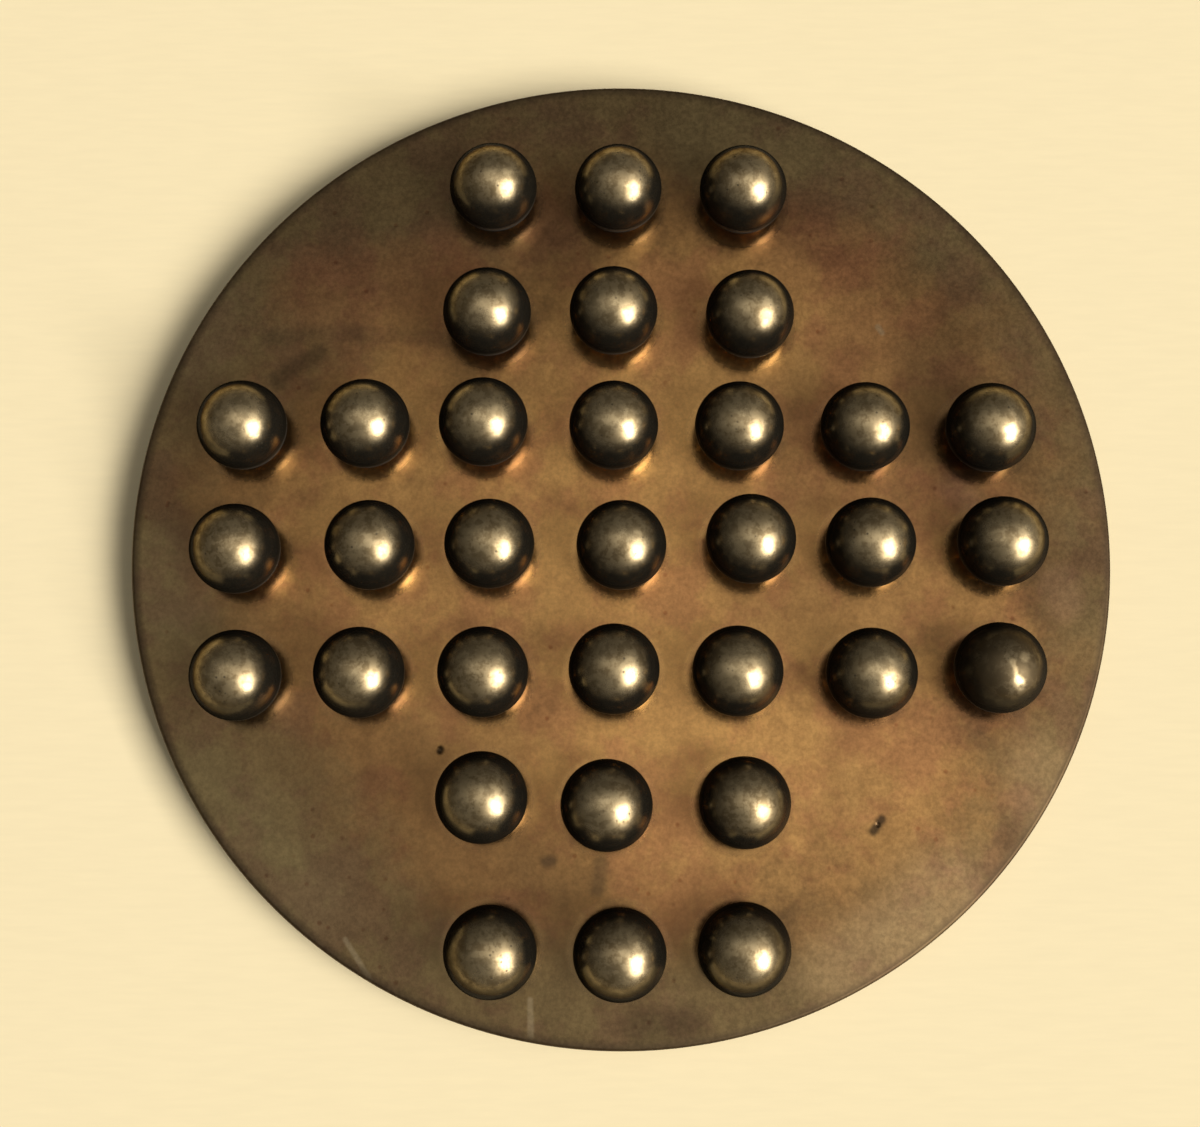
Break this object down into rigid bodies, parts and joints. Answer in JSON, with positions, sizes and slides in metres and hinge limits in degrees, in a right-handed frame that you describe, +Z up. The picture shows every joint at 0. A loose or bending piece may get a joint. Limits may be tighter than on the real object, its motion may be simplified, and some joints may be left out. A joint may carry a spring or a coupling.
{
  "type": "solitaire board",
  "caption": "Round flat brass plate with a cross of drilled conical seats, each holding a loose steel ball, for playing solitaire on a table.",
  "frame": {"origin": "centre of the plate's flat underside", "axes": "+Z up out of the seats, +Y towards the far row (row 1), +X to the right (column g)"},
  "size_m": [0.2, 0.2, 0.0255],
  "materials": {
    "plate": "satin with a brown patina",
    "steel": "worn polish, faintly clouded",
    "steel_pitted": "dull and pitted"
  },
  "bodies": {
    "board": {"board": "plate"},
    "ball_c1": {"ball_c1": "steel"},
    "ball_d1": {"ball_d1": "steel"},
    "ball_e1": {"ball_e1": "steel"},
    "ball_c2": {"ball_c2": "steel"},
    "ball_d2": {"ball_d2": "steel"},
    "ball_e2": {"ball_e2": "steel"},
    "ball_a3": {"ball_a3": "steel"},
    "ball_b3": {"ball_b3": "steel"},
    "ball_c3": {"ball_c3": "steel"},
    "ball_d3": {"ball_d3": "steel"},
    "ball_e3": {"ball_e3": "steel"},
    "ball_f3": {"ball_f3": "steel"},
    "ball_g3": {"ball_g3": "steel"},
    "ball_a4": {"ball_a4": "steel"},
    "ball_b4": {"ball_b4": "steel"},
    "ball_c4": {"ball_c4": "steel"},
    "ball_d4": {"ball_d4": "steel"},
    "ball_e4": {"ball_e4": "steel"},
    "ball_f4": {"ball_f4": "steel"},
    "ball_g4": {"ball_g4": "steel"},
    "ball_a5": {"ball_a5": "steel"},
    "ball_b5": {"ball_b5": "steel"},
    "ball_c5": {"ball_c5": "steel"},
    "ball_d5": {"ball_d5": "steel"},
    "ball_e5": {"ball_e5": "steel"},
    "ball_f5": {"ball_f5": "steel"},
    "ball_g5": {"ball_g5": "steel_pitted"},
    "ball_c6": {"ball_c6": "steel"},
    "ball_d6": {"ball_d6": "steel"},
    "ball_e6": {"ball_e6": "steel"},
    "ball_c7": {"ball_c7": "steel"},
    "ball_d7": {"ball_d7": "steel"},
    "ball_e7": {"ball_e7": "steel"}
  },
  "joints": [
    {"name": "ball_c1_lift", "type": "slide", "parent": "board", "child": "ball_c1", "axis": [0, 0, 1], "range_m": [0, 0.03]},
    {"name": "ball_d1_lift", "type": "slide", "parent": "board", "child": "ball_d1", "axis": [0, 0, 1], "range_m": [0, 0.03]},
    {"name": "ball_e1_lift", "type": "slide", "parent": "board", "child": "ball_e1", "axis": [0, 0, 1], "range_m": [0, 0.03]},
    {"name": "ball_c2_lift", "type": "slide", "parent": "board", "child": "ball_c2", "axis": [0, 0, 1], "range_m": [0, 0.03]},
    {"name": "ball_d2_lift", "type": "slide", "parent": "board", "child": "ball_d2", "axis": [0, 0, 1], "range_m": [0, 0.03]},
    {"name": "ball_e2_lift", "type": "slide", "parent": "board", "child": "ball_e2", "axis": [0, 0, 1], "range_m": [0, 0.03]},
    {"name": "ball_a3_lift", "type": "slide", "parent": "board", "child": "ball_a3", "axis": [0, 0, 1], "range_m": [0, 0.03]},
    {"name": "ball_b3_lift", "type": "slide", "parent": "board", "child": "ball_b3", "axis": [0, 0, 1], "range_m": [0, 0.03]},
    {"name": "ball_c3_lift", "type": "slide", "parent": "board", "child": "ball_c3", "axis": [0, 0, 1], "range_m": [0, 0.03]},
    {"name": "ball_d3_lift", "type": "slide", "parent": "board", "child": "ball_d3", "axis": [0, 0, 1], "range_m": [0, 0.03]},
    {"name": "ball_e3_lift", "type": "slide", "parent": "board", "child": "ball_e3", "axis": [0, 0, 1], "range_m": [0, 0.03]},
    {"name": "ball_f3_lift", "type": "slide", "parent": "board", "child": "ball_f3", "axis": [0, 0, 1], "range_m": [0, 0.03]},
    {"name": "ball_g3_lift", "type": "slide", "parent": "board", "child": "ball_g3", "axis": [0, 0, 1], "range_m": [0, 0.03]},
    {"name": "ball_a4_lift", "type": "slide", "parent": "board", "child": "ball_a4", "axis": [0, 0, 1], "range_m": [0, 0.03]},
    {"name": "ball_b4_lift", "type": "slide", "parent": "board", "child": "ball_b4", "axis": [0, 0, 1], "range_m": [0, 0.03]},
    {"name": "ball_c4_lift", "type": "slide", "parent": "board", "child": "ball_c4", "axis": [0, 0, 1], "range_m": [0, 0.03]},
    {"name": "ball_d4_lift", "type": "slide", "parent": "board", "child": "ball_d4", "axis": [0, 0, 1], "range_m": [0, 0.03]},
    {"name": "ball_e4_lift", "type": "slide", "parent": "board", "child": "ball_e4", "axis": [0, 0, 1], "range_m": [0, 0.03]},
    {"name": "ball_f4_lift", "type": "slide", "parent": "board", "child": "ball_f4", "axis": [0, 0, 1], "range_m": [0, 0.03]},
    {"name": "ball_g4_lift", "type": "slide", "parent": "board", "child": "ball_g4", "axis": [0, 0, 1], "range_m": [0, 0.03]},
    {"name": "ball_a5_lift", "type": "slide", "parent": "board", "child": "ball_a5", "axis": [0, 0, 1], "range_m": [0, 0.03]},
    {"name": "ball_b5_lift", "type": "slide", "parent": "board", "child": "ball_b5", "axis": [0, 0, 1], "range_m": [0, 0.03]},
    {"name": "ball_c5_lift", "type": "slide", "parent": "board", "child": "ball_c5", "axis": [0, 0, 1], "range_m": [0, 0.03]},
    {"name": "ball_d5_lift", "type": "slide", "parent": "board", "child": "ball_d5", "axis": [0, 0, 1], "range_m": [0, 0.03]},
    {"name": "ball_e5_lift", "type": "slide", "parent": "board", "child": "ball_e5", "axis": [0, 0, 1], "range_m": [0, 0.03]},
    {"name": "ball_f5_lift", "type": "slide", "parent": "board", "child": "ball_f5", "axis": [0, 0, 1], "range_m": [0, 0.03]},
    {"name": "ball_g5_lift", "type": "slide", "parent": "board", "child": "ball_g5", "axis": [0, 0, 1], "range_m": [0, 0.03]},
    {"name": "ball_c6_lift", "type": "slide", "parent": "board", "child": "ball_c6", "axis": [0, 0, 1], "range_m": [0, 0.03]},
    {"name": "ball_d6_lift", "type": "slide", "parent": "board", "child": "ball_d6", "axis": [0, 0, 1], "range_m": [0, 0.03]},
    {"name": "ball_e6_lift", "type": "slide", "parent": "board", "child": "ball_e6", "axis": [0, 0, 1], "range_m": [0, 0.03]},
    {"name": "ball_c7_lift", "type": "slide", "parent": "board", "child": "ball_c7", "axis": [0, 0, 1], "range_m": [0, 0.03]},
    {"name": "ball_d7_lift", "type": "slide", "parent": "board", "child": "ball_d7", "axis": [0, 0, 1], "range_m": [0, 0.03]},
    {"name": "ball_e7_lift", "type": "slide", "parent": "board", "child": "ball_e7", "axis": [0, 0, 1], "range_m": [0, 0.03]}
  ]
}
